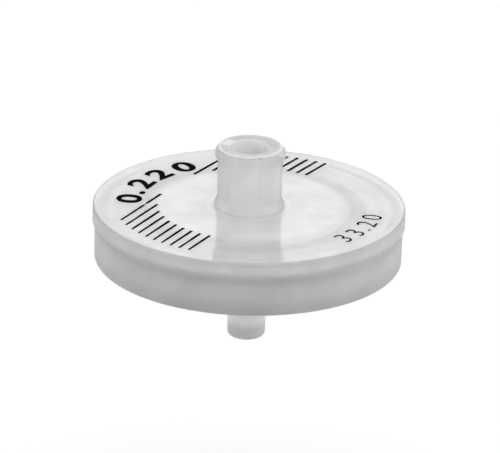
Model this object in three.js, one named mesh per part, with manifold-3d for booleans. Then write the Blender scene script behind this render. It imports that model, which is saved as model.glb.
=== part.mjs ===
// A syringe filter for a 25 mm membrane: two welded polypropylene mouldings and the membrane
// clamped between them. Millimetres, +Z up along the flow axis, the inlet on top.
// The origin is the centre of the inlet's mouth, and the nozzle points down.

import * as THREE from "three";
import { mergeVertices } from "three/addons/utils/BufferGeometryUtils.js";
import Module from "manifold-3d";

// Housing, from outside
const CAP_RADIUS = 16.6; // the cap's outer band, the widest part
const CAP_BAND_HEIGHT = 1.78;
const CAP_EDGE_ROUND = 0.3;
const CAP_LOWER_EDGE_ROUND = 0.08;
const SKIRT_RADIUS = 16.38; // the lower band, under the cap's small overhang
const SKIRT_HEIGHT = 4.32;
const SKIRT_DRAFT = 0.06; // how much the lower band narrows on its way down
const SKIRT_EDGE_ROUND = 0.4;

// Inlet hub, a female lock fitting with a 6 % taper
const HUB_HEIGHT = 6.75;
const BARREL_RADIUS = 3.44;
const RIM_ROUND = 0.14;
const SOCKET_MOUTH_RADIUS = 2.15;
const SOCKET_LEAD_IN = 0.25; // width and depth of the bevel round the mouth
const SOCKET_DEPTH = 7.0;
const TAPER = 0.03; // radius lost per millimetre, which is 6 % of diameter
const INLET_HOLE_RADIUS = 1.1;
const COLLAR_RADIUS = 3.72; // the low flare where the hub meets the cap
const COLLAR_STRAIGHT = 0.35; // upright part of the flare, under its slope
const COLLAR_HEIGHT = 1.0;
const COLLAR_ROUND = 0.3;

// Lock lugs
const LUG_RADIUS = 3.79;
const LUG_SPAN = 80; // degrees round the barrel
const LUG_TOP_DEPTH = 0.05; // where the upper slope leaves the rim
const LUG_CREST_TOP_DEPTH = 0.54;
const LUG_CREST_HEIGHT = 0.4;
const LUG_FOOT_DEPTH = 1.75;
const LUG_RAMP = 0.45; // how far the thread-like underside climbs along the lug
const LUG_END_SHARE = 0.14; // share of the span in which each end slopes in to the barrel
const LUG_ROOT_DEPTH = 0.6; // how deep the lug's section reaches into the barrel wall
const LUG_STEPS = 14;

// Cap plate and chamber over the membrane
const CAP_PLATE_THICKNESS = 1.2;
const CAP_SKIRT_INNER_RADIUS = 15.05;
const CHAMBER_RADIUS = 10.8;
const CHAMBER_DEPTH = 0.25;
const SPREADER_COUNT = 12; // low ribs that spread the liquid over the membrane
const SPREADER_WIDTH = 0.5;
const SPREADER_HEIGHT = 0.2;
const SPREADER_START = 2.3;
const SPREADER_END = 10.1;

// Membrane
const MEMBRANE_RADIUS = 12.5;
const MEMBRANE_THICKNESS = 0.15;

// Seat, weld and membrane support on the lower moulding
const BOSS_RADIUS = 14.95;
const WELD_INNER_RADIUS = 13.4;
const WELD_OUTER_RADIUS = 14.3;
const GROOVE_COUNT = 7;
const GROOVE_PITCH = 1.25;
const GROOVE_START = 2.0;
const GROOVE_WIDTH = 0.65;
const GROOVE_DEPTH = 0.4;
const DRAIN_COUNT = 8;
const DRAIN_WIDTH = 0.8;
const DRAIN_DEPTH = 0.6;
const DRAIN_END = 10.35;

// Underside: a recess with ribs, and the nozzle, a male slip fitting with the same taper
const WEB_UNDERSIDE_DEPTH = 3.35; // below the cap's top face
const RECESS_RADIUS = 14.75;
const RECESS_DRAFT = 0.15;
const RECESS_CORNER_ROUND = 0.3;
const RECESS_EDGE_ROUND = 0.12;
const RIB_COUNT = 12;
const RIB_ROOT_WIDTH = 1.0;
const RIB_EDGE_WIDTH = 0.7;
const RIB_HEIGHT = 1.8;
const NOZZLE_LENGTH = 8.7; // below the lower band
const NOZZLE_TIP_RADIUS = 2.01;
const NOZZLE_TIP_ROUND = 0.55;
const NOZZLE_BORE_RADIUS = 1.05;
const NOZZLE_FOOT_RADIUS = 3.5;
const NOZZLE_FOOT_HEIGHT = 1.5;

// Roundness: flat sides per turn on the wide and on the narrow revolved parts
const WIDE_SIDES = 80;
const NARROW_SIDES = 48;
const BORE_SIDES = 32;

// How far a joined piece is sunk into its neighbour, and a cutter runs past a face
const SINK = 0.3;
const OVERRUN = 0.5;

// Levels, from the inlet's mouth down
const MOUTH_Z = 0;
const CAP_TOP_Z = MOUTH_Z - HUB_HEIGHT;
const SEAM_Z = CAP_TOP_Z - CAP_BAND_HEIGHT;
const CLAMP_Z = CAP_TOP_Z - CAP_PLATE_THICKNESS;
const SEAT_Z = CLAMP_Z - MEMBRANE_THICKNESS;
const SKIRT_BOTTOM_Z = SEAM_Z - SKIRT_HEIGHT;
const WEB_UNDERSIDE_Z = CAP_TOP_Z - WEB_UNDERSIDE_DEPTH;
const TIP_Z = SKIRT_BOTTOM_Z - NOZZLE_LENGTH;

const wasm = await Module();
wasm.setup();

// An outline of corners [radius, z] or [radius, z, round]; a corner with a round becomes an arc.
function outline(corners, arcSteps = 4) {
  const points = [];
  corners.forEach(([r, z, round], i) => {
    const corner = new THREE.Vector2(r, z);
    if (!round) {
      points.push(corner);
      return;
    }
    const [rBefore, zBefore] = corners[i - 1];
    const [rAfter, zAfter] = corners[i + 1];
    const back = new THREE.Vector2(rBefore, zBefore).sub(corner).normalize();
    const on = new THREE.Vector2(rAfter, zAfter).sub(corner).normalize();
    const halfAngle = back.angleTo(on) / 2;
    const reach = round / Math.tan(halfAngle);
    const middle = back.clone().add(on).normalize();
    const centre = corner.clone().addScaledVector(middle, round / Math.sin(halfAngle));
    const from = corner.clone().addScaledVector(back, reach).sub(centre);
    const to = corner.clone().addScaledVector(on, reach).sub(centre);
    const sweep = Math.atan2(from.cross(to), from.dot(to));
    for (let step = 0; step <= arcSteps; step += 1) {
      const turned = from.clone().rotateAround(new THREE.Vector2(), (sweep * step) / arcSteps);
      points.push(turned.add(centre));
    }
  });
  return points;
}

function toSolid(geometry) {
  const bare = geometry.clone();
  bare.deleteAttribute("normal");
  bare.deleteAttribute("uv");
  const merged = mergeVertices(bare, 1e-4);
  const mesh = new wasm.Mesh({
    numProp: 3,
    vertProperties: merged.attributes.position.array,
    triVerts: new Uint32Array(merged.index.array),
  });
  return new wasm.Manifold(mesh);
}

function toGeometry(solid) {
  const mesh = solid.getMesh();
  const geometry = new THREE.BufferGeometry();
  geometry.setAttribute("position", new THREE.BufferAttribute(mesh.vertProperties, 3));
  geometry.setIndex(new THREE.BufferAttribute(mesh.triVerts, 1));
  const faceted = geometry.toNonIndexed();
  faceted.computeVertexNormals();
  return faceted;
}

// A body turned about the flow axis from an outline that starts and ends on that axis.
function turned(corners, sides, arcSteps) {
  const lathe = new THREE.LatheGeometry(outline(corners, arcSteps), sides);
  lathe.rotateX(Math.PI / 2);
  return toSolid(lathe);
}

// A closed ring between two radii and two levels.
function ring(innerRadius, outerRadius, lowZ, highZ, sides) {
  const section = [
    new THREE.Vector2(innerRadius, lowZ),
    new THREE.Vector2(outerRadius, lowZ),
    new THREE.Vector2(outerRadius, highZ),
    new THREE.Vector2(innerRadius, highZ),
    new THREE.Vector2(innerRadius, lowZ),
  ];
  const lathe = new THREE.LatheGeometry(section, sides);
  lathe.rotateX(Math.PI / 2);
  return toSolid(lathe);
}

// A bar that runs outwards from the axis, wide at its root level and narrower at its edge level.
function radialBar(startRadius, endRadius, rootZ, edgeZ, rootWidth, edgeWidth, turn) {
  const section = new THREE.Shape([
    new THREE.Vector2(-rootWidth / 2, rootZ),
    new THREE.Vector2(-edgeWidth / 2, edgeZ),
    new THREE.Vector2(edgeWidth / 2, edgeZ),
    new THREE.Vector2(rootWidth / 2, rootZ),
  ]);
  const bar = new THREE.ExtrudeGeometry(section, {
    depth: endRadius - startRadius,
    bevelEnabled: false,
  });
  bar.translate(0, 0, startRadius);
  bar.rotateX(Math.PI / 2);
  bar.rotateZ(turn);
  return toSolid(bar);
}

function spaced(count, make) {
  return Array.from({ length: count }, (_, i) => make((i * 2 * Math.PI) / count, i));
}

function joined(solid, extras) {
  return extras.reduce((sum, extra) => sum.add(extra), solid);
}

function cut(solid, tools) {
  return tools.reduce((left, tool) => left.subtract(tool), solid);
}

// One lock lug: a section of the thread form carried round the barrel while its underside climbs.
function lockLug(middleAngle) {
  const root = BARREL_RADIUS - LUG_ROOT_DEPTH;
  const lip = BARREL_RADIUS - 0.03; // just under the barrel's surface
  const half = THREE.MathUtils.degToRad(LUG_SPAN / 2);
  const positions = [];
  const index = [];
  for (let step = 0; step <= LUG_STEPS; step += 1) {
    const share = step / LUG_STEPS;
    const angle = middleAngle - half + 2 * half * share;
    const lift = LUG_RAMP * (share - 0.5);
    const rise = Math.min(1, Math.min(share, 1 - share) / LUG_END_SHARE);
    const crest = THREE.MathUtils.lerp(BARREL_RADIUS, LUG_RADIUS, rise);
    const crestTop = MOUTH_Z - LUG_CREST_TOP_DEPTH;
    const foot = MOUTH_Z - LUG_FOOT_DEPTH + lift;
    const section = [
      [root, MOUTH_Z - LUG_TOP_DEPTH],
      [lip, MOUTH_Z - LUG_TOP_DEPTH],
      [crest, crestTop],
      [crest, crestTop - LUG_CREST_HEIGHT + lift],
      [lip, foot],
      [root, foot],
    ];
    section.forEach(([r, z]) => positions.push(r * Math.cos(angle), r * Math.sin(angle), z));
  }
  const corners = positions.length / 3 / (LUG_STEPS + 1);
  for (let step = 0; step < LUG_STEPS; step += 1) {
    for (let corner = 0; corner < corners; corner += 1) {
      const a = step * corners + corner;
      const b = step * corners + ((corner + 1) % corners);
      index.push(a, b, a + corners, b, b + corners, a + corners);
    }
  }
  const last = LUG_STEPS * corners;
  for (let corner = 1; corner < corners - 1; corner += 1) {
    index.push(0, corner + 1, corner);
    index.push(last, last + corner, last + corner + 1);
  }
  const geometry = new THREE.BufferGeometry();
  geometry.setAttribute("position", new THREE.Float32BufferAttribute(positions, 3));
  geometry.setIndex(index);
  return toSolid(geometry);
}

// Upper moulding: cap, hub, lugs, socket, inlet hole, chamber and spreader ribs.
function inletHousing() {
  const cap = turned(
    [
      [0, CLAMP_Z],
      [CAP_SKIRT_INNER_RADIUS, CLAMP_Z],
      [CAP_SKIRT_INNER_RADIUS, SEAM_Z],
      [CAP_RADIUS, SEAM_Z, CAP_LOWER_EDGE_ROUND],
      [CAP_RADIUS, CAP_TOP_Z, CAP_EDGE_ROUND],
      [0, CAP_TOP_Z],
    ],
    WIDE_SIDES,
  );
  const hub = turned(
    [
      [0, CAP_TOP_Z - SINK],
      [COLLAR_RADIUS, CAP_TOP_Z - SINK],
      [COLLAR_RADIUS, CAP_TOP_Z + COLLAR_STRAIGHT, COLLAR_ROUND],
      [BARREL_RADIUS, CAP_TOP_Z + COLLAR_HEIGHT],
      [BARREL_RADIUS, MOUTH_Z, RIM_ROUND],
      [0, MOUTH_Z],
    ],
    NARROW_SIDES,
  );
  const socketFloor = MOUTH_Z - SOCKET_DEPTH;
  const above = MOUTH_Z + OVERRUN;
  const socket = turned(
    [
      [0, socketFloor],
      [SOCKET_MOUTH_RADIUS - TAPER * SOCKET_DEPTH, socketFloor],
      [SOCKET_MOUTH_RADIUS - TAPER * SOCKET_LEAD_IN, MOUTH_Z - SOCKET_LEAD_IN],
      [SOCKET_MOUTH_RADIUS + SOCKET_LEAD_IN, MOUTH_Z],
      [SOCKET_MOUTH_RADIUS + SOCKET_LEAD_IN, above],
      [0, above],
    ],
    BORE_SIDES,
  );
  const inletHole = turned(
    [
      [0, CLAMP_Z - OVERRUN],
      [INLET_HOLE_RADIUS, CLAMP_Z - OVERRUN],
      [INLET_HOLE_RADIUS, socketFloor + OVERRUN],
      [0, socketFloor + OVERRUN],
    ],
    BORE_SIDES,
  );
  const chamberRoof = CLAMP_Z + CHAMBER_DEPTH;
  const chamber = turned(
    [
      [0, CLAMP_Z - OVERRUN],
      [CHAMBER_RADIUS, CLAMP_Z - OVERRUN],
      [CHAMBER_RADIUS, CLAMP_Z],
      [CHAMBER_RADIUS - CHAMBER_DEPTH, chamberRoof],
      [0, chamberRoof],
    ],
    WIDE_SIDES,
  );
  const spreaders = spaced(SPREADER_COUNT, (turn) =>
    radialBar(
      SPREADER_START,
      SPREADER_END,
      chamberRoof + SINK,
      chamberRoof - SPREADER_HEIGHT,
      SPREADER_WIDTH,
      SPREADER_WIDTH,
      turn,
    ),
  );
  const lugs = [lockLug(0), lockLug(Math.PI)];
  const outside = joined(cap, [hub, ...lugs]);
  const hollowed = cut(outside, [socket, inletHole, chamber]);
  return joined(hollowed, spreaders);
}

// Lower moulding: skirt, seat, weld ring, membrane support, ribbed underside and nozzle.
function outletHousing() {
  const skirtLowRadius = SKIRT_RADIUS - SKIRT_DRAFT;
  const body = turned(
    [
      [0, WEB_UNDERSIDE_Z],
      [RECESS_RADIUS - RECESS_DRAFT, WEB_UNDERSIDE_Z, RECESS_CORNER_ROUND],
      [RECESS_RADIUS, SKIRT_BOTTOM_Z, RECESS_EDGE_ROUND],
      [skirtLowRadius, SKIRT_BOTTOM_Z, SKIRT_EDGE_ROUND],
      [SKIRT_RADIUS, SEAM_Z],
      [BOSS_RADIUS, SEAM_Z],
      [BOSS_RADIUS, SEAT_Z],
      [0, SEAT_Z],
    ],
    WIDE_SIDES,
  );
  const weld = ring(WELD_INNER_RADIUS, WELD_OUTER_RADIUS, SEAT_Z - SINK, CLAMP_Z, WIDE_SIDES);
  const tipToFoot = WEB_UNDERSIDE_Z - NOZZLE_FOOT_HEIGHT - TIP_Z;
  const shankRadius = NOZZLE_TIP_RADIUS + TAPER * tipToFoot;
  const nozzle = turned(
    [
      [0, TIP_Z],
      [NOZZLE_TIP_RADIUS, TIP_Z, NOZZLE_TIP_ROUND],
      [shankRadius, WEB_UNDERSIDE_Z - NOZZLE_FOOT_HEIGHT],
      [NOZZLE_FOOT_RADIUS, WEB_UNDERSIDE_Z],
      [NOZZLE_FOOT_RADIUS, WEB_UNDERSIDE_Z + SINK],
      [0, WEB_UNDERSIDE_Z + SINK],
    ],
    NARROW_SIDES,
    5,
  );
  const ribs = spaced(RIB_COUNT, (turn) =>
    radialBar(
      NOZZLE_TIP_RADIUS,
      RECESS_RADIUS + SINK,
      WEB_UNDERSIDE_Z + SINK,
      WEB_UNDERSIDE_Z - RIB_HEIGHT,
      RIB_ROOT_WIDTH,
      RIB_EDGE_WIDTH,
      turn,
    ),
  );
  const bore = turned(
    [
      [0, TIP_Z - OVERRUN],
      [NOZZLE_BORE_RADIUS, TIP_Z - OVERRUN],
      [NOZZLE_BORE_RADIUS, SEAT_Z + OVERRUN],
      [0, SEAT_Z + OVERRUN],
    ],
    BORE_SIDES,
  );
  const grooves = spaced(GROOVE_COUNT, (_, i) => {
    const inner = GROOVE_START + i * GROOVE_PITCH;
    const sides = i < GROOVE_COUNT / 2 ? NARROW_SIDES : WIDE_SIDES;
    return ring(inner, inner + GROOVE_WIDTH, SEAT_Z - GROOVE_DEPTH, SEAT_Z + OVERRUN, sides);
  });
  const drains = spaced(DRAIN_COUNT, (turn) =>
    radialBar(
      0,
      DRAIN_END,
      SEAT_Z + OVERRUN,
      SEAT_Z - DRAIN_DEPTH,
      DRAIN_WIDTH,
      DRAIN_WIDTH,
      turn,
    ),
  );
  const outside = joined(body, [weld, nozzle, ...ribs]);
  return cut(outside, [...grooves, ...drains, bore]);
}

function membrane() {
  return turned(
    [
      [0, SEAT_Z],
      [MEMBRANE_RADIUS, SEAT_Z],
      [MEMBRANE_RADIUS, CLAMP_Z],
      [0, CLAMP_Z],
    ],
    WIDE_SIDES,
  );
}

function piece(name, solid, finish) {
  const mesh = new THREE.Mesh(toGeometry(solid), new THREE.MeshStandardMaterial(finish));
  mesh.name = name;
  return mesh;
}

const polypropylene = { color: 0xdcdddd, roughness: 0.32, metalness: 0 };
const filterMembrane = { color: 0xf7f7f5, roughness: 0.85, metalness: 0 };

const syringeFilter = new THREE.Group();
syringeFilter.add(piece("inlet_housing", inletHousing(), { ...polypropylene }));
syringeFilter.add(piece("membrane", membrane(), { ...filterMembrane }));
syringeFilter.add(piece("outlet_housing", outletHousing(), { ...polypropylene }));

export default syringeFilter;
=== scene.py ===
import math

import bmesh
import bpy
from mathutils import Matrix, Vector


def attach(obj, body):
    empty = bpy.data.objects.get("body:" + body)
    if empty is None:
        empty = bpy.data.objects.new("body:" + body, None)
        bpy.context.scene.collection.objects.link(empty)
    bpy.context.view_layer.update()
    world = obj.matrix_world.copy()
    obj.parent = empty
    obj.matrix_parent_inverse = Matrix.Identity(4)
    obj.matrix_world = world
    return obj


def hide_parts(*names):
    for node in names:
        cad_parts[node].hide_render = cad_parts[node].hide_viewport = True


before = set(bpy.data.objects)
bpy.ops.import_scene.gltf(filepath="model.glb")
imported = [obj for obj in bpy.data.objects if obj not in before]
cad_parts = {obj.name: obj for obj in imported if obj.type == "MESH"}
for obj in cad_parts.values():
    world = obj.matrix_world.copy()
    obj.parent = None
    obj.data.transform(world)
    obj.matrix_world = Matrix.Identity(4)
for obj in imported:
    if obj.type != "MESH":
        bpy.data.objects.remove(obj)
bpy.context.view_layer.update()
print("frame loaded:", ", ".join(sorted(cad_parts)))

mm = 0.001
body = "root"


# helpers for colour, nodes and meshes
def linear(hexColour):
    # sRGB hex to the linear colour that Blender's sockets take
    channels = [int(hexColour[i:i + 2], 16) / 255 for i in (1, 3, 5)]
    return [c / 12.92 if c <= 0.04045 else ((c + 0.055) / 1.055) ** 2.4 for c in channels] + [1.0]


def addNode(tree, kind, settings=None, inputs=None):
    # settings are the node's own options; an input is a plain value, a socket, or a node
    # whose first output in use is linked
    node = tree.nodes.new(kind)
    for name, value in (settings or {}).items():
        setattr(node, name, value)
    for name, value in (inputs or {}).items():
        if isinstance(value, bpy.types.Node):
            value = next(output for output in value.outputs if output.enabled)
        if isinstance(value, bpy.types.NodeSocket):
            tree.links.new(value, node.inputs[name])
        else:
            node.inputs[name].default_value = value
    return node


def newMaterial(name):
    material = bpy.data.materials.new(name)
    material.use_nodes = True
    material.node_tree.nodes.clear()
    return material


def smoothStep(t):
    t = min(1.0, max(0.0, t))
    return t * t * (3 - 2 * t)


def softMin(a, b, blend):
    near = max(blend - abs(a - b), 0) / blend
    return min(a, b) - near * near * blend / 4


def roundedOutline(corners, arcSteps=6, support=0.07):
    # corners are (radius, z) or (radius, z, round) in mm, going once round a closed section
    points = []
    count = len(corners)
    for i, corner in enumerate(corners):
        at = Vector(corner[:2])
        before = Vector(corners[i - 1][:2])
        after = Vector(corners[(i + 1) % count][:2])
        toBefore = (before - at).normalized()
        toAfter = (after - at).normalized()
        size = corner[2] if len(corner) > 2 else 0
        if not size:
            points.append(at)
            continue
        half = toBefore.angle(toAfter) / 2
        reach = size / math.tan(half)
        centre = at + (toBefore + toAfter).normalized() * size / math.sin(half)
        start = at + toBefore * reach
        end = at + toAfter * reach
        # a point close to each end of an arc keeps the flat sides flat in the shading
        if (before - start).length > 3 * support:
            points.append(start + toBefore * support)
        for step in range(arcSteps + 1):
            spoke = (start - centre).lerp(end - centre, step / arcSteps)
            points.append(centre + spoke.normalized() * size)
        if (after - end).length > 3 * support:
            points.append(end + toAfter * support)
    return points


def turn(builder, points, sides, reshape=None):
    # revolves a closed section about the flow axis; reshape may move a point at its angle
    loops = []
    for side in range(sides):
        angle = 2 * math.pi * side / sides
        loop = []
        for point in points:
            radius, z = reshape(angle, point) if reshape else point
            place = Vector((radius * math.cos(angle), radius * math.sin(angle), z)) * mm
            loop.append(builder.verts.new(place))
        loops.append(loop)
    for side in range(sides):
        here, there = loops[side], loops[(side + 1) % sides]
        for i in range(len(points)):
            j = (i + 1) % len(points)
            builder.faces.new((here[i], there[i], there[j], here[j]))


def meshObject(builder, name):
    bmesh.ops.remove_doubles(builder, verts=builder.verts, dist=0.0005 * mm)
    bmesh.ops.recalc_face_normals(builder, faces=builder.faces)
    mesh = bpy.data.meshes.new(name)
    builder.to_mesh(mesh)
    builder.free()
    piece = bpy.data.objects.new(name, mesh)
    bpy.context.scene.collection.objects.link(piece)
    return piece


def shadeSmooth(piece, sharpAngle=32):
    for face in piece.data.polygons:
        face.use_smooth = True
    piece.data.set_sharp_from_angle(angle=math.radians(sharpAngle))


def newGeometryTree(name, inputs):
    # inputs are (name, socket type, value); their values are set on the modifier by identifier
    tree = bpy.data.node_groups.new(name, "GeometryNodeTree")
    tree.interface.new_socket("Geometry", in_out="INPUT", socket_type="NodeSocketGeometry")
    for socketName, kind, _ in inputs:
        tree.interface.new_socket(socketName, in_out="INPUT", socket_type="NodeSocket" + kind)
    tree.interface.new_socket("Geometry", in_out="OUTPUT", socket_type="NodeSocketGeometry")
    return tree, addNode(tree, "NodeGroupInput"), addNode(tree, "NodeGroupOutput")


def growPiece(piece, tree, inputs):
    # runs the tree on the piece and keeps the result as a plain mesh
    modifier = piece.modifiers.new(tree.name, "NODES")
    modifier.node_group = tree
    for socketName, _, value in inputs:
        modifier[tree.interface.items_tree[socketName].identifier] = value
    done = piece.evaluated_get(bpy.context.evaluated_depsgraph_get())
    mesh = bpy.data.meshes.new_from_object(done)
    piece.modifiers.clear()
    piece.data = mesh
    return piece


# the camera first: a long lens, a little above the disc
cameraView = {
    "distance": 996, "elevation": 21.826, "roll": -1.429,
    "lens": 676, "sensor": 36, "acrossOffset": -0.088, "upOffset": 2.259,
    "clipStart": 0.01, "clipEnd": 10,
}  # mm and degrees, but metres for the clip
levels = {
    "capTop": -6.75, "seam": -8.53, "clamp": -7.95, "seat": -8.10,
    "web": -10.10, "skirtFoot": -12.85, "tip": -21.55,
}  # heights of the main faces in mm, as in the part's source


def makeCamera(v):
    data = bpy.data.cameras.new("camera")
    data.lens = v["lens"]
    data.sensor_width = v["sensor"]
    data.clip_start = v["clipStart"]
    data.clip_end = v["clipEnd"]
    camera = bpy.data.objects.new("camera", data)
    bpy.context.scene.collection.objects.link(camera)
    e = math.radians(v["elevation"])
    r = math.radians(v["roll"])
    back = Vector((0, -math.cos(e), math.sin(e)))
    right = Vector((1, 0, 0))
    up = Vector((0, math.sin(e), math.cos(e)))
    rolledRight = right * math.cos(r) - up * math.sin(r)
    rolledUp = right * math.sin(r) + up * math.cos(r)
    aim = Vector((0, 0, levels["capTop"]))
    place = aim + back * v["distance"] - rolledRight * v["acrossOffset"] - rolledUp * v["upOffset"]
    turned = Matrix((rolledRight, rolledUp, back)).transposed().to_4x4()
    camera.matrix_world = Matrix.Translation(place * mm) @ turned
    bpy.context.scene.camera = camera


makeCamera(cameraView)
print("camera placed")


# radial bars for ribs, channels and spreaders, joined to or cut from a moulding
def radialBars(piece, name, v, operation):
    inputs = [
        ("Count", "Int", v["count"]),
        ("Start", "Float", v["start"] * mm),
        ("End", "Float", v["end"] * mm),
        ("Top Width", "Float", v["topWidth"] * mm),
        ("Low Width", "Float", v["lowWidth"] * mm),
        ("Top", "Float", v["top"] * mm),
        ("Low", "Float", v["low"] * mm),
    ]
    tree, given, result = newGeometryTree(name, inputs)
    g = given.outputs
    block = addNode(tree, "GeometryNodeMeshCube", inputs={"Size": (1, 1, 1)})
    corner = addNode(tree, "ShaderNodeSeparateXYZ", inputs={
        "Vector": addNode(tree, "GeometryNodeInputPosition")})
    x = addNode(tree, "ShaderNodeMapRange", inputs={
        "Value": corner.outputs["X"], "From Min": -0.5, "From Max": 0.5,
        "To Min": g["Start"], "To Max": g["End"]})
    width = addNode(tree, "ShaderNodeMapRange", inputs={
        "Value": corner.outputs["Z"], "From Min": -0.5, "From Max": 0.5,
        "To Min": g["Low Width"], "To Max": g["Top Width"]})
    y = addNode(tree, "ShaderNodeMath", {"operation": "MULTIPLY"}, {0: corner.outputs["Y"], 1: width})
    z = addNode(tree, "ShaderNodeMapRange", inputs={
        "Value": corner.outputs["Z"], "From Min": -0.5, "From Max": 0.5,
        "To Min": g["Low"], "To Max": g["Top"]})
    bar = addNode(tree, "GeometryNodeSetPosition", inputs={
        "Geometry": block.outputs["Mesh"],
        "Position": addNode(tree, "ShaderNodeCombineXYZ", inputs={"X": x, "Y": y, "Z": z})})
    step = addNode(tree, "ShaderNodeMath", {"operation": "DIVIDE"}, {0: 2 * math.pi, 1: g["Count"]})
    angle = addNode(tree, "ShaderNodeMath", {"operation": "MULTIPLY"}, {
        0: addNode(tree, "GeometryNodeInputIndex"), 1: step})
    bars = addNode(tree, "GeometryNodeInstanceOnPoints", inputs={
        "Points": addNode(tree, "GeometryNodePoints", inputs={"Count": g["Count"]}),
        "Instance": bar,
        "Rotation": addNode(tree, "ShaderNodeCombineXYZ", inputs={"Z": angle})})
    real = addNode(tree, "GeometryNodeRealizeInstances", inputs={"Geometry": bars})
    one = addNode(tree, "GeometryNodeMeshBoolean", {"operation": operation, "solver": "MANIFOLD"})
    tree.links.new(g["Geometry"], one.inputs["Mesh 1" if operation == "DIFFERENCE" else "Mesh 2"])
    tree.links.new(real.outputs["Geometry"], one.inputs["Mesh 2"])
    painted = addNode(tree, "GeometryNodeSetMaterial", inputs={
        "Geometry": one.outputs["Mesh"], "Material": piece.data.materials[0]})
    tree.links.new(painted.outputs["Geometry"], result.inputs["Geometry"])
    growPiece(piece, tree, inputs)


# moulded plastic
polypropylene = {
    "ior": 1.49, "cloudFrom": 0.35, "cloudTo": 0.65, "cloudDetail": 3.0, "rippleDetail": 1.0,
    "paintedShadeBlend": 0.2, "paintedHighlightCore": 0.4,
}  # the same in both mouldings


def makePolypropylene(name, v):
    # natural polypropylene, injection moulded: milky, a little see-through, and glossy where
    # the tool was polished, so that the cap mirrors the hub. Its colours also hold painted light
    # and shade, set by the radius and the height.
    material = newMaterial(name)
    tree = material.node_tree
    place = addNode(tree, "ShaderNodeTexCoord")
    split = addNode(tree, "ShaderNodeSeparateXYZ", inputs={"Vector": place.outputs["Object"]})
    across = addNode(tree, "ShaderNodeCombineXYZ", inputs={
        "X": split.outputs["X"], "Y": split.outputs["Y"]})
    radius = addNode(tree, "ShaderNodeVectorMath", {"operation": "LENGTH"}, {0: across})
    ramps = {}
    sources = {
        "colours": radius.outputs["Value"], "gloss": radius.outputs["Value"],
        "mirror": radius.outputs["Value"], "paintedShades": split.outputs["Z"],
    }
    for kind, source in sources.items():
        # stops are (place in mm, value), spread over the ramp from the first to the last
        first, last = v[kind][0][0], v[kind][-1][0]
        zone = addNode(tree, "ShaderNodeMapRange", inputs={
            "Value": source, "From Min": first * mm, "From Max": last * mm})
        ramps[kind] = addNode(tree, "ShaderNodeValToRGB", inputs={"Fac": zone})
        stops = ramps[kind].color_ramp.elements
        while len(stops) < len(v[kind]):
            stops.new(1.0)
        for stop, (at, value) in zip(stops, v[kind]):
            stop.position = (at - first) / (last - first)
            stop.color = linear(value) if kind == "colours" else (value, value, value, 1.0)
    cloud = addNode(tree, "ShaderNodeTexNoise", inputs={
        "Vector": place.outputs["Object"], "Scale": 1 / (v["cloudSize"] * mm),
        "Detail": polypropylene["cloudDetail"]})
    level = addNode(tree, "ShaderNodeMapRange", inputs={
        "Value": cloud.outputs["Fac"], "From Min": polypropylene["cloudFrom"],
        "From Max": polypropylene["cloudTo"], "To Min": v["cloudLow"], "To Max": 1.0})
    # painted shade: the shades ramp darkens the colour by height, from the radius paintedShadeFrom
    # outwards
    paintedShadeMask = addNode(tree, "ShaderNodeMapRange", inputs={
        "Value": radius.outputs["Value"], "From Min": v["paintedShadeFrom"] * mm,
        "From Max": (v["paintedShadeFrom"] + polypropylene["paintedShadeBlend"]) * mm})
    shaded = addNode(tree, "ShaderNodeMix", {"data_type": "RGBA", "blend_type": "MULTIPLY"}, {
        "Factor": paintedShadeMask, 6: ramps["colours"].outputs["Color"], 7: ramps["paintedShades"].outputs["Color"]})
    colour = addNode(tree, "ShaderNodeMix", {"data_type": "RGBA", "blend_type": "MULTIPLY"}, {
        "Factor": 1.0, 6: shaded.outputs[2], 7: level.outputs["Result"]})
    for x, y, z, size in v["paintedHighlights"]:
        # a painted highlight: the colour is painted white in a small round spot, where a highlight shows
        away = addNode(tree, "ShaderNodeVectorMath", {"operation": "DISTANCE"}, {
            0: place.outputs["Object"], 1: (x * mm, y * mm, z * mm)})
        white = addNode(tree, "ShaderNodeMapRange", {"interpolation_type": "SMOOTHSTEP"}, {
            "Value": away, "From Min": size * mm, "From Max": polypropylene["paintedHighlightCore"] * size * mm})
        colour = addNode(tree, "ShaderNodeMix", {"data_type": "RGBA"}, {
            "Factor": white, 6: colour.outputs[2], 7: linear("#ffffff")})
    ripple = addNode(tree, "ShaderNodeTexNoise", inputs={
        "Vector": place.outputs["Object"], "Scale": 1 / (v["rippleSize"] * mm),
        "Detail": polypropylene["rippleDetail"]})
    bump = addNode(tree, "ShaderNodeBump", inputs={
        "Strength": v["rippleStrength"], "Distance": v["rippleHeight"] * mm,
        "Height": ripple.outputs["Fac"]})
    shader = addNode(tree, "ShaderNodeBsdfPrincipled", inputs={
        "Base Color": colour.outputs[2],
        "Roughness": ramps["gloss"].outputs["Color"],
        "Specular IOR Level": ramps["mirror"].outputs["Color"],
        "IOR": polypropylene["ior"],
        "Subsurface Weight": v["subsurface"],
        "Subsurface Radius": (1.0, 1.0, 1.0),
        "Subsurface Scale": v["scatter"] * mm,
        "Transmission Weight": v["transmission"],
        "Normal": bump.outputs["Normal"],
    })
    addNode(tree, "ShaderNodeOutputMaterial", inputs={"Surface": shader.outputs["BSDF"]})
    return material
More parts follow.
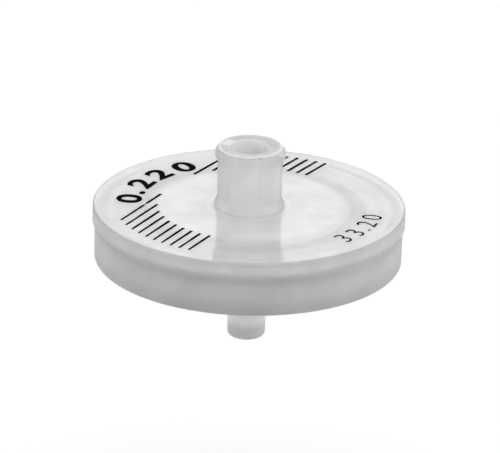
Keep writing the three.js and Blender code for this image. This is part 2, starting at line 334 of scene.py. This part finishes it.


# colours, gloss (roughness) and mirror (strength of the reflection) change with the distance
# from the flow axis, and shades, painted shade which darkens the colours from the radius
# paintedShadeFrom outwards, change with the height, all in mm. The cap is whiter over the membrane,
# and the rim's face and the outer band are duller than the cap. The colours also hold painted
# light and shade: a painted shadow ring at the chamber's edge, painted shade on the rim's face
# and on the cap's rounded edge, painted light round the hub's foot, and a skirt painted greyer
# towards its outer wall as shade. Scatter is how far light spreads in the plastic, in mm, and a
# painted highlight is x, y, z and size in mm.
capPlastic = makePolypropylene("naturalPolypropyleneCap", {
    # a painted shadow ring at 10.8, painted shade on the rim's face (2.25 to 3.15) and on the cap's
    # rounded edge (16.4 to 16.52), and painted light round the hub's foot (3.3 to 4.2)
    "colours": [(0.0, "#fdfdfd"), (2.12, "#fdfdfd"), (2.25, "#dadada"), (2.6, "#d2d2d2"),
                (3.15, "#d2d2d2"), (3.3, "#fafafa"), (4.2, "#fafafa"), (4.7, "#f0f0f0"),
                (9.4, "#efefef"), (10.8, "#e2e2e2"), (12.0, "#e8e8e8"), (16.25, "#e9e9e9"),
                (16.4, "#d0d0d0"), (16.52, "#d0d0d0"), (16.6, "#fdfdfd")],
    "gloss": [(0.0, 0.15), (2.1, 0.15), (2.25, 0.4), (3.15, 0.4), (3.27, 0.1), (3.38, 0.2),
              (3.8, 0.28), (4.1, 0.08), (16.3, 0.08), (16.45, 0.18), (16.6, 0.5)],
    "mirror": [(0.0, 0.5), (3.15, 0.5), (3.3, 1.0), (3.42, 1.0), (3.5, 0.5), (16.5, 0.5),
               (16.6, 0.05)],
    # painted shade: darker up the outer band towards its top edge, on the collar's flare, and on the
    # barrel and lugs under the rim
    "paintedShades": [(-8.55, 1.0), (-8.0, 0.97), (-7.2, 0.84), (-6.85, 0.74), (-6.76, 1.0), (-6.45, 1.0),
               (-6.2, 0.86), (-5.9, 0.9), (-5.4, 1.0), (-3.2, 1.0), (-1.9, 0.94), (-1.0, 0.85),
               (-0.3, 0.81), (-0.12, 0.85), (-0.05, 1.0), (0.0, 1.0)],
    "paintedShadeFrom": 2.2,
    "cloudSize": 4, "cloudLow": 0.9, "rippleSize": 4, "rippleStrength": 0.2, "rippleHeight": 0.02,
    "subsurface": 1.0, "scatter": 1.3, "transmission": 0.5,
    # painted highlights: two small white spots on the rim's face, at its left back
    "paintedHighlights": [(-2.45, 0.75, 0.0, 0.8), (-2.2, 1.4, 0.0, 0.6)],
})
skirtPlastic = makePolypropylene("naturalPolypropyleneSkirt", {
    # painted shade: the skirt is greyer towards its outer wall
    "colours": [(0.0, "#f0f0f0"), (2.4, "#ececec"), (14.0, "#dcdcdc"), (16.4, "#dcdcdc")],
    "gloss": [(0.0, 0.2), (14.0, 0.2), (16.0, 0.5)],
    "mirror": [(0.0, 0.5), (4.0, 0.5), (14.0, 0.05)],
    # painted shade: darker at the nozzle's tip, just under the seam and down the wall towards the
    # skirt's foot
    "paintedShades": [(-21.6, 0.57), (-21.2, 0.64), (-20.3, 0.71), (-19.4, 0.97), (-13.5, 1.0),
               (-12.9, 0.61), (-12.0, 0.66), (-10.8, 0.77), (-9.8, 0.76), (-9.1, 0.7),
               (-8.8, 0.73), (-8.6, 0.94), (-8.55, 1.0)],
    "paintedShadeFrom": 0.5,
    "cloudSize": 6, "cloudLow": 0.88, "rippleSize": 4, "rippleStrength": 0.2, "rippleHeight": 0.02,
    "subsurface": 1.0, "scatter": 0.9, "transmission": 0.15,
    "paintedHighlights": [],
})


# upper moulding: cap, hub with its two lock lugs, socket and chamber, in mm and degrees
upperMoulding = {
    "cap": {
        "radius": 16.6, "edgeRound": 0.2, "lowerRound": 0.04, "skirtInner": 15.05,
        "chamberRadius": 10.8, "chamberDepth": 0.25, "sides": 240,
    },
    "hub": {
        "barrel": 3.44, "rimRound": 0.14, "rimDish": 0.06, "lipRound": 0.06,
        "collar": 3.72, "collarStraight": 0.35, "collarHeight": 1.0,
        "collarFootRound": 0.08, "collarTopRound": 0.4, "barrelFootRound": 1.2,
        "socketMouth": 2.15, "leadIn": 0.1, "socketDepth": 7.0, "taper": 0.03, "hole": 1.1,
        "mouthRound": 0.06, "socketFloorRound": 0.1, "holeRound": 0.12,
    },
    "lug": {
        "radius": 3.79, "span": 80, "topDepth": 0.05, "crestTop": 0.54, "crestHeight": 0.4,
        "foot": 1.65, "ramp": 0.45, "endShare": 0.32, "blend": 0.3,
        "rings": 44, "ringsFrom": -2.3, "ringsTo": -0.16,
    },
    "mouldLine": {
        "angle": -72, "width": 0.09, "height": -0.05, "fadeFrom": -3.6, "fadeTo": -5.2,
        "rings": 10, "ringPitch": 0.3,
    },
    "flashMarks": [
        {"angle": -80, "z": -0.22, "width": 0.7, "tall": 0.07, "height": -0.08},
        {"angle": -72, "z": -0.24, "width": 0.25, "tall": 0.1, "height": -0.16},
        {"angle": 80, "z": -0.16, "width": 0.30, "tall": 0.30, "height": 0.08},
    ],
    "spreaders": {
        "count": 12, "start": 2.3, "end": 10.1, "topWidth": 0.5, "lowWidth": 0.5,
        "top": -7.4, "low": -7.9,
    },
}
cap, hub, lug = (upperMoulding[part] for part in ("cap", "hub", "lug"))


def lugHeight(angle, z):
    # share of a lug's full height here: a thread form whose underside climbs along the lug
    half = math.radians(lug["span"] / 2)
    best = 0.0
    for middle in (0.0, math.pi):
        off = (angle - middle + math.pi) % (2 * math.pi) - math.pi
        share = (off + half) / (2 * half)
        if not 0 <= share <= 1:
            continue
        lift = lug["ramp"] * (share - 0.5)
        crestLow = -lug["crestTop"] - lug["crestHeight"] + lift
        foot = -lug["foot"] + lift
        fromTop = (-lug["topDepth"] - z) / (lug["crestTop"] - lug["topDepth"])
        fromFoot = (z - foot) / (crestLow - foot)
        height = softMin(softMin(fromTop, fromFoot, lug["blend"]), 1, lug["blend"])
        best = max(best, height * smoothStep(min(share, 1 - share) / lug["endShare"]))
    return best


def mouldMarks(angle, z):
    # the fine line where the mould's halves met, and the small flash marks by the rim
    line = upperMoulding["mouldLine"]

    def along(atAngle):
        off = (angle - math.radians(atAngle) + math.pi) % (2 * math.pi) - math.pi
        return off * hub["barrel"]

    fade = smoothStep((z - line["fadeTo"]) / (line["fadeFrom"] - line["fadeTo"]))
    off = along(line["angle"]) / line["width"]
    total = line["height"] * fade * math.exp(-off * off)
    for mark in upperMoulding["flashMarks"]:
        away = math.hypot(along(mark["angle"]) / mark["width"], (z - mark["z"]) / mark["tall"])
        total += mark["height"] * math.exp(-away * away)
    return total


def makeInletHousing():
    builder = bmesh.new()
    top, clamp, seam = levels["capTop"], levels["clamp"], levels["seam"]
    roof = clamp + cap["chamberDepth"]
    floor = -hub["socketDepth"]
    section = roundedOutline([
        (hub["hole"], roof),
        (cap["chamberRadius"] - cap["chamberDepth"], roof),
        (cap["chamberRadius"], clamp),
        (cap["skirtInner"], clamp),
        (cap["skirtInner"], seam),
        (cap["radius"], seam, cap["lowerRound"]),
        (cap["radius"], top, cap["edgeRound"]),
        (hub["collar"], top, hub["collarFootRound"]),
        (hub["collar"], top + hub["collarStraight"], hub["collarTopRound"]),
        (hub["barrel"], top + hub["collarHeight"], hub["barrelFootRound"]),
        (hub["barrel"], 0.0, hub["rimRound"]),
        (hub["socketMouth"] + hub["leadIn"], -hub["rimDish"], hub["lipRound"]),
        (hub["socketMouth"], -hub["rimDish"] - hub["leadIn"], hub["mouthRound"]),
        (hub["socketMouth"] - hub["taper"] * hub["socketDepth"], floor, hub["socketFloorRound"]),
        (hub["hole"], floor, hub["holeRound"]),
    ])
    # more rings up the barrel, for the mould line and, close together, for the lugs
    line = upperMoulding["mouldLine"]
    heights = [line["fadeTo"] + line["ringPitch"] * k for k in range(line["rings"])]
    step = (lug["ringsTo"] - lug["ringsFrom"]) / lug["rings"]
    heights += [lug["ringsFrom"] + step * k for k in range(lug["rings"] + 1)]
    ringed = []
    for i, point in enumerate(section):
        ringed.append(point)
        after = section[(i + 1) % len(section)]
        onBarrel = abs(point.x - hub["barrel"]) < 1e-5 and abs(after.x - hub["barrel"]) < 1e-5
        if onBarrel and after.y > point.y + 1:  # the barrel's one long side
            ringed += [Vector((hub["barrel"], height)) for height in heights]

    def shaped(angle, point):
        # only the barrel's own skin and the round of its rim take the lugs and the marks
        radius, z = point
        if radius < hub["barrel"] - hub["rimRound"] or radius > hub["barrel"] + 0.01 or z > -0.005:
            return radius, z
        return radius + (lug["radius"] - hub["barrel"]) * lugHeight(angle, z) + mouldMarks(angle, z), z

    turn(builder, ringed, cap["sides"], shaped)
    piece = meshObject(builder, "inletHousing")
    piece.data.materials.append(capPlastic)
    radialBars(piece, "spreaderBars", upperMoulding["spreaders"], "UNION")
    shadeSmooth(piece)
    return piece


inletHousing = makeInletHousing()
print("upper moulding made:", len(inletHousing.data.polygons), "faces")


# lower moulding: skirt, seat, recess with ribs, nozzle, in mm
lowerMoulding = {
    "skirt": {
        "radius": 16.38, "draft": 0.06, "edgeRound": 0.4, "boss": 14.95, "sides": 240,
        "recess": 14.75, "recessDraft": 0.15, "cornerRound": 0.3, "innerEdgeRound": 0.12,
        "seamRound": 0.05, "weldInner": 13.4, "weldOuter": 14.3,
        "grooves": 7, "grooveStart": 2.0, "groovePitch": 1.25, "grooveWidth": 0.65,
        "grooveDepth": 0.4,
    },
    "nozzle": {
        "tip": 2.01, "tipRound": 0.55, "taper": 0.03, "bore": 1.05, "boreRound": 0.08,
        "foot": 3.5, "footHeight": 1.5, "rootRound": 0.8, "footRound": 0.25,
    },
    "ribs": {
        "count": 12, "start": 2.4, "end": 14.9, "topWidth": 1.0, "lowWidth": 0.7,
        "top": -9.8, "low": -11.9,
    },
    "drains": {
        "count": 8, "start": 0.5, "end": 10.35, "topWidth": 0.8, "lowWidth": 0.8,
        "top": -7.6, "low": -8.7,
    },
}
skirt, nozzle = lowerMoulding["skirt"], lowerMoulding["nozzle"]


def makeOutletHousing():
    builder = bmesh.new()
    web, foot, seam, seat, clamp = (levels[n] for n in ("web", "skirtFoot", "seam", "seat", "clamp"))
    shank = nozzle["tip"] + nozzle["taper"] * (web - nozzle["footHeight"] - levels["tip"])
    support = []
    for k in range(skirt["grooves"]):
        inner = skirt["grooveStart"] + k * skirt["groovePitch"]
        outer = inner + skirt["grooveWidth"]
        low = seat - skirt["grooveDepth"]
        support = [(outer, seat), (outer, low), (inner, low), (inner, seat)] + support
    section = roundedOutline([
        (nozzle["bore"], seat),
        (nozzle["bore"], levels["tip"], nozzle["boreRound"]),
        (nozzle["tip"], levels["tip"], nozzle["tipRound"]),
        (shank, web - nozzle["footHeight"], nozzle["rootRound"]),
        (nozzle["foot"], web, nozzle["footRound"]),
        (skirt["recess"] - skirt["recessDraft"], web, skirt["cornerRound"]),
        (skirt["recess"], foot, skirt["innerEdgeRound"]),
        (skirt["radius"] - skirt["draft"], foot, skirt["edgeRound"]),
        (skirt["radius"], seam, skirt["seamRound"]),
        (skirt["boss"], seam),
        (skirt["boss"], seat),
        (skirt["weldOuter"], seat),
        (skirt["weldOuter"], clamp),
        (skirt["weldInner"], clamp),
        (skirt["weldInner"], seat),
        *support,
    ])
    turn(builder, section, skirt["sides"])
    piece = meshObject(builder, "outletHousing")
    piece.data.materials.append(skirtPlastic)
    radialBars(piece, "undersideRibs", lowerMoulding["ribs"], "UNION")
    radialBars(piece, "drainChannels", lowerMoulding["drains"], "DIFFERENCE")
    shadeSmooth(piece)
    return piece


outletHousing = makeOutletHousing()
print("lower moulding made:", len(outletHousing.data.polygons), "faces")


# membrane, in mm
membraneDisc = {
    "radius": 12.5, "rimWidth": 1, "edgeRound": 0.04, "arcSteps": 3, "sides": 120,
    "grain": 0.6, "darker": "#f1f1f0", "lighter": "#fafafa", "roughness": 0.9,
}


def makeMembraneFinish():
    # cast polymer membrane: matt and very white, with a faint mottle
    material = newMaterial("castMembrane")
    tree = material.node_tree
    place = addNode(tree, "ShaderNodeTexCoord")
    grain = addNode(tree, "ShaderNodeTexNoise", inputs={
        "Vector": place.outputs["Object"], "Scale": 1 / (membraneDisc["grain"] * mm), "Detail": 3.0})
    ramp = addNode(tree, "ShaderNodeValToRGB", inputs={"Fac": grain.outputs["Fac"]})
    ramp.color_ramp.elements[0].color = linear(membraneDisc["darker"])
    ramp.color_ramp.elements[1].color = linear(membraneDisc["lighter"])
    shader = addNode(tree, "ShaderNodeBsdfPrincipled", inputs={
        "Base Color": ramp.outputs["Color"], "Roughness": membraneDisc["roughness"],
        "Specular IOR Level": 0.2})
    addNode(tree, "ShaderNodeOutputMaterial", inputs={"Surface": shader.outputs["BSDF"]})
    return material


def makeMembrane():
    v = membraneDisc
    builder = bmesh.new()
    rim = roundedOutline([
        (v["radius"] - v["rimWidth"], levels["seat"]),
        (v["radius"], levels["seat"], v["edgeRound"]),
        (v["radius"], levels["clamp"], v["edgeRound"]),
        (v["radius"] - v["rimWidth"], levels["clamp"]),
    ], arcSteps=v["arcSteps"], support=0.2)
    angles = [2 * math.pi * side / v["sides"] for side in range(v["sides"])]
    rings = []
    for radius, z in rim:
        places = [Vector((radius * math.cos(a), radius * math.sin(a), z)) * mm for a in angles]
        rings.append([builder.verts.new(place) for place in places])
    for lower, upper in zip(rings, rings[1:]):
        for i in range(v["sides"]):
            j = (i + 1) % v["sides"]
            builder.faces.new((lower[i], lower[j], upper[j], upper[i]))
    builder.faces.new(rings[0][::-1])
    builder.faces.new(rings[-1])
    piece = meshObject(builder, "membraneDisc")
    piece.data.materials.append(makeMembraneFinish())
    shadeSmooth(piece)
    return piece


membrane = makeMembrane()
print("membrane made:", len(membrane.data.polygons), "faces")

for piece, node, slot in (
    (inletHousing, "inlet_housing", "housing"),
    (outletHousing, "outlet_housing", "housing"),
    (membrane, "membrane", "membrane"),
):
    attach(piece, body)
    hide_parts(node)


# print on the cap: two fields of hatch lines and two plain numbers, in mm and degrees
inkLayer = {
    "thickness": 0.014, "sunk": 0.006, "patchSize": 0.5,
    "denser": "#050505", "thinner": "#161616", "roughness": 0.9,
}


def makeInk():
    # pad-printed black ink: matt, dense, with slightly uneven cover
    material = newMaterial("padPrintInk")
    tree = material.node_tree
    place = addNode(tree, "ShaderNodeTexCoord")
    cover = addNode(tree, "ShaderNodeTexNoise", inputs={
        "Vector": place.outputs["Object"], "Scale": 1 / (inkLayer["patchSize"] * mm), "Detail": 2.0})
    ramp = addNode(tree, "ShaderNodeValToRGB", inputs={"Fac": cover.outputs["Fac"]})
    ramp.color_ramp.elements[0].color = linear(inkLayer["denser"])
    ramp.color_ramp.elements[1].color = linear(inkLayer["thinner"])
    shader = addNode(tree, "ShaderNodeBsdfPrincipled", inputs={
        "Base Color": ramp.outputs["Color"], "Roughness": inkLayer["roughness"],
        "Specular IOR Level": 0.0})
    addNode(tree, "ShaderNodeOutputMaterial", inputs={"Surface": shader.outputs["BSDF"]})
    return material


ink = makeInk()
hatchStroke = {
    "steps": 61, "unevenStart": 0.05, "innerShare": 1.1, "thinnest": 0.75, "thickest": 1.25,
    "waverSize": 0.9, "wornShare": 0.05,
}  # how a line of ink runs; a share is of the line's width
frontHatch = {
    "count": 10, "pitch": 1.123, "first": -9.54, "angle": 242.2, "centreX": 0.0,
    "inner": 9.76, "outer": 14.45, "width": 0.29, "outerShare": 0.9,
    "wornSpot": (-11.02, -0.44), "wornRadius": 0.5, "seed": 4,
}
backHatch = {
    "count": 10, "pitch": -1.099, "first": 9.95, "angle": 58.7, "centreX": 0.46,
    "inner": 10.71, "outer": 14.85, "width": 0.31, "outerShare": 1.0,
    "wornSpot": (0.0, 0.0), "wornRadius": 0.1, "seed": 9,
}


def makeHatch(name, v):
    # straight lines side by side, each running from an inner to an outer circle
    inputs = [
        ("Count", "Int", v["count"]),
        ("Pitch", "Float", v["pitch"] * mm),
        ("First Offset", "Float", v["first"] * mm),
        ("Inner Radius", "Float", v["inner"] * mm),
        ("Outer Radius", "Float", v["outer"] * mm),
        ("Angle", "Vector", (0, 0, math.radians(v["angle"]))),
        ("Centre", "Vector", (v["centreX"] * mm, 0, levels["capTop"] * mm)),
        ("Line Width", "Float", v["width"] * mm),
        ("Thickness", "Float", inkLayer["thickness"] * mm),
        ("Outer Share", "Float", v["outerShare"]),
        ("Worn Spot", "Vector", (v["wornSpot"][0] * mm, v["wornSpot"][1] * mm, levels["capTop"] * mm)),
        ("Worn Radius", "Float", v["wornRadius"] * mm),
        ("Seed", "Int", v["seed"]),
    ]
    tree, given, result = newGeometryTree(name, inputs)
    g = given.outputs
    offset = addNode(tree, "ShaderNodeMath", {"operation": "MULTIPLY_ADD"}, {
        0: addNode(tree, "GeometryNodeInputIndex"), 1: g["Pitch"], 2: g["First Offset"]})
    negative = addNode(tree, "ShaderNodeMath", {"operation": "MULTIPLY"}, {0: offset, 1: -1.0})
    minusSquare = addNode(tree, "ShaderNodeMath", {"operation": "MULTIPLY"}, {0: offset, 1: negative})
    ends = []
    for circle in ("Inner Radius", "Outer Radius"):
        square = addNode(tree, "ShaderNodeMath", {"operation": "MULTIPLY_ADD"}, {
            0: g[circle], 1: g[circle], 2: minusSquare})
        ends.append(addNode(tree, "ShaderNodeMath", {"operation": "SQRT"}, {0: square}))
    uneven = addNode(tree, "FunctionNodeRandomValue", {"data_type": "FLOAT"}, {
        2: -hatchStroke["unevenStart"] * mm, 3: hatchStroke["unevenStart"] * mm,
        "Seed": g["Seed"]})
    near = addNode(tree, "ShaderNodeMath", {"operation": "ADD"}, {0: ends[0], 1: uneven})
    length = addNode(tree, "ShaderNodeMath", {"operation": "SUBTRACT"}, {0: ends[1], 1: near})
    starts = addNode(tree, "GeometryNodeSetPosition", inputs={
        "Geometry": addNode(tree, "GeometryNodePoints", inputs={"Count": g["Count"]}),
        "Position": addNode(tree, "ShaderNodeCombineXYZ", inputs={"X": near, "Y": offset})})
    stroke = addNode(tree, "GeometryNodeResampleCurve", inputs={
        "Curve": addNode(tree, "GeometryNodeCurvePrimitiveLine", inputs={"End": (1.0, 0.0, 0.0)}),
        "Count": hatchStroke["steps"]})
    strokes = addNode(tree, "GeometryNodeInstanceOnPoints", inputs={
        "Points": starts, "Instance": stroke,
        "Scale": addNode(tree, "ShaderNodeCombineXYZ", inputs={"X": length, "Y": 1.0, "Z": 1.0})})
    real = addNode(tree, "GeometryNodeRealizeInstances", inputs={"Geometry": strokes})
    placed = addNode(tree, "GeometryNodeTransform", inputs={
        "Geometry": real, "Translation": g["Centre"], "Rotation": g["Angle"]})

    # the ink thins to the outer end, wavers a little, and is worn through at one spot
    taper = addNode(tree, "ShaderNodeMapRange", inputs={
        "Value": addNode(tree, "GeometryNodeSplineParameter").outputs["Factor"],
        "To Min": hatchStroke["innerShare"], "To Max": g["Outer Share"]})
    waver = addNode(tree, "ShaderNodeMapRange", inputs={
        "Value": addNode(tree, "ShaderNodeTexNoise", inputs={
            "Scale": 1 / (hatchStroke["waverSize"] * mm), "Detail": 1.0}),
        "To Min": hatchStroke["thinnest"], "To Max": hatchStroke["thickest"]})
    away = addNode(tree, "ShaderNodeVectorMath", {"operation": "DISTANCE"}, {
        0: addNode(tree, "GeometryNodeInputPosition"), 1: g["Worn Spot"]})
    worn = addNode(tree, "ShaderNodeMapRange", inputs={
        "Value": away, "From Max": g["Worn Radius"], "To Min": hatchStroke["wornShare"],
        "To Max": 1.0})
    share = addNode(tree, "ShaderNodeMath", {"operation": "MULTIPLY"}, {0: taper, 1: waver})
    share = addNode(tree, "ShaderNodeMath", {"operation": "MULTIPLY"}, {0: share, 1: worn})
    upright = addNode(tree, "GeometryNodeSetCurveNormal", {"mode": "Z_UP"}, {"Curve": placed})
    edge = addNode(tree, "GeometryNodeCurvePrimitiveQuadrilateral", inputs={
        "Width": g["Line Width"], "Height": g["Thickness"]})
    ribbon = addNode(tree, "GeometryNodeCurveToMesh", inputs={
        "Curve": upright, "Profile Curve": edge, "Scale": share, "Fill Caps": True})
    flat = addNode(tree, "GeometryNodeRealizeInstances", inputs={"Geometry": ribbon})
    painted = addNode(tree, "GeometryNodeSetMaterial", inputs={"Geometry": flat, "Material": ink})
    tree.links.new(painted.outputs["Geometry"], result.inputs["Geometry"])
    piece = bpy.data.objects.new(name, bpy.data.meshes.new(name))
    bpy.context.scene.collection.objects.link(piece)
    growPiece(piece, tree, inputs)
    return piece


poreNumber = {
    "digits": (("0", 175.3), (".", 166.0), ("2", 154.5), ("2", 139.5), ("0", 123.8)),
    "height": 2.55, "baseRadius": 11.55, "outwards": True, "boldness": 0.11, "width": 1.35,
}
sizeNumber = {
    "digits": (("3", -41.0), ("3", -31.9), (".", -26.0), ("2", -20.0), ("0", -11.2)),
    "height": 2.2, "baseRadius": 14.35, "outwards": False, "boldness": -0.025, "width": 0.95,
}
fontCapShare = 0.7  # height of a digit as a share of the built-in font's size
curveSteps = 6  # steps in each curve of a digit's outline


def makeNumber(name, v):
    # digits stand one by one round an arc, each at its own angle in degrees
    builder = bmesh.new()
    for letter, angle in v["digits"]:
        curve = bpy.data.curves.new(name + "Digit", "FONT")
        curve.body = letter
        curve.size = v["height"] / fontCapShare * mm
        curve.offset = v["boldness"] * mm
        curve.align_x = "CENTER"
        curve.extrude = inkLayer["thickness"] / 2 * mm
        curve.resolution_u = curveSteps
        holder = bpy.data.objects.new(name + "Digit", curve)
        bpy.context.scene.collection.objects.link(holder)
        done = holder.evaluated_get(bpy.context.evaluated_depsgraph_get())
        digit = bpy.data.meshes.new_from_object(done)
        outward = Vector((math.cos(math.radians(angle)), math.sin(math.radians(angle)), 0))
        up = outward if v["outwards"] else -outward
        right = Vector((up.y, -up.x, 0))
        spot = outward * v["baseRadius"]
        spot.z = levels["capTop"] + inkLayer["thickness"] / 2 - inkLayer["sunk"]
        place = Matrix((right * v["width"], up, Vector((0, 0, 1)))).transposed().to_4x4()
        digit.transform(Matrix.Translation(spot * mm) @ place)
        builder.from_mesh(digit)
        bpy.data.objects.remove(holder)
    piece = meshObject(builder, name)
    piece.data.materials.append(ink)
    return piece


printed = [
    makeHatch("frontHatch", frontHatch),
    makeHatch("backHatch", backHatch),
    makeNumber("poreNumber", poreNumber),
    makeNumber("sizeNumber", sizeNumber),
]
for piece in printed:
    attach(piece, body)
print("print made:", sum(len(piece.data.polygons) for piece in printed), "faces")


# floor, world and lamps
studio = {
    "floorDrop": 24, "floorHalf": 3.0, "floorColour": "#bfbfbf", "floorLift": 0.36, "world": 1.0,
    # azimuth 0 is the camera's side and 90 the right; metres and watts, but mm for the drop
    "lamps": {
        "topSoftbox": {"azimuth": 0, "elevation": 88, "away": 0.5, "size": (0.5, 0.5), "power": 1.35},
        "backPanel": {"azimuth": 180, "elevation": 22, "away": 0.8, "size": (0.32, 0.34), "power": 0.38},
        "leftSoftbox": {"azimuth": -85, "elevation": 4, "away": 0.8, "size": (1.0, 0.24), "power": 1.45},
        "rightSoftbox": {"azimuth": 80, "elevation": 10, "away": 0.8, "size": (1.0, 0.5), "power": 2.3},
        "frontSoftbox": {"azimuth": 5, "elevation": 10, "away": 0.8, "size": (0.8, 0.5), "power": 1.3},
    },
}


def makeFloor():
    builder = bmesh.new()
    bmesh.ops.create_grid(builder, x_segments=1, y_segments=1, size=studio["floorHalf"])
    low = (levels["tip"] - studio["floorDrop"]) * mm
    bmesh.ops.translate(builder, verts=builder.verts, vec=Vector((0, 0, low)))
    floor = meshObject(builder, "floor")
    material = newMaterial("palePaper")
    tree = material.node_tree
    paper = addNode(tree, "ShaderNodeBsdfDiffuse", inputs={"Color": linear(studio["floorColour"])})
    # the paper looks white to the camera, and in and through the plastic, but lights nothing more
    ray = addNode(tree, "ShaderNodeLightPath").outputs
    mirrored = addNode(tree, "ShaderNodeMath", {"operation": "MAXIMUM"}, {
        0: ray["Is Glossy Ray"], 1: ray["Is Transmission Ray"]})
    seen = addNode(tree, "ShaderNodeMath", {"operation": "MAXIMUM"}, {
        0: ray["Is Camera Ray"], 1: mirrored})
    lift = addNode(tree, "ShaderNodeMath", {"operation": "MULTIPLY"}, {
        0: seen, 1: studio["floorLift"]})
    white = addNode(tree, "ShaderNodeEmission", inputs={"Strength": lift})
    both = addNode(tree, "ShaderNodeAddShader", inputs={
        0: paper.outputs["BSDF"], 1: white.outputs["Emission"]})
    addNode(tree, "ShaderNodeOutputMaterial", inputs={"Surface": both.outputs["Shader"]})
    floor.data.materials.append(material)


def makeWorld():
    world = bpy.data.worlds.new("studio")
    bpy.context.scene.world = world
    world.use_nodes = True
    tree = world.node_tree
    tree.nodes.clear()
    sky = addNode(tree, "ShaderNodeBackground", inputs={"Strength": studio["world"]})
    addNode(tree, "ShaderNodeOutputWorld", inputs={"Surface": sky.outputs["Background"]})


def makeSoftbox(name, v):
    a, e = math.radians(v["azimuth"]), math.radians(v["elevation"])
    outward = Vector((math.sin(a) * math.cos(e), -math.cos(a) * math.cos(e), math.sin(e)))
    data = bpy.data.lights.new(name, "AREA")
    data.shape = "RECTANGLE"
    data.size, data.size_y = v["size"]
    data.energy = v["power"]
    lamp = bpy.data.objects.new(name, data)
    bpy.context.scene.collection.objects.link(lamp)
    middle = Vector((0, 0, levels["capTop"] * mm))
    turned = outward.to_track_quat("Z", "Y").to_matrix().to_4x4()
    lamp.matrix_world = Matrix.Translation(middle + outward * v["away"]) @ turned
    lamp.visible_camera = False


makeFloor()
makeWorld()
for lampName, lampValues in studio["lamps"].items():
    makeSoftbox(lampName, lampValues)
bpy.context.scene.view_settings.view_transform = "Standard"
print("studio lit")
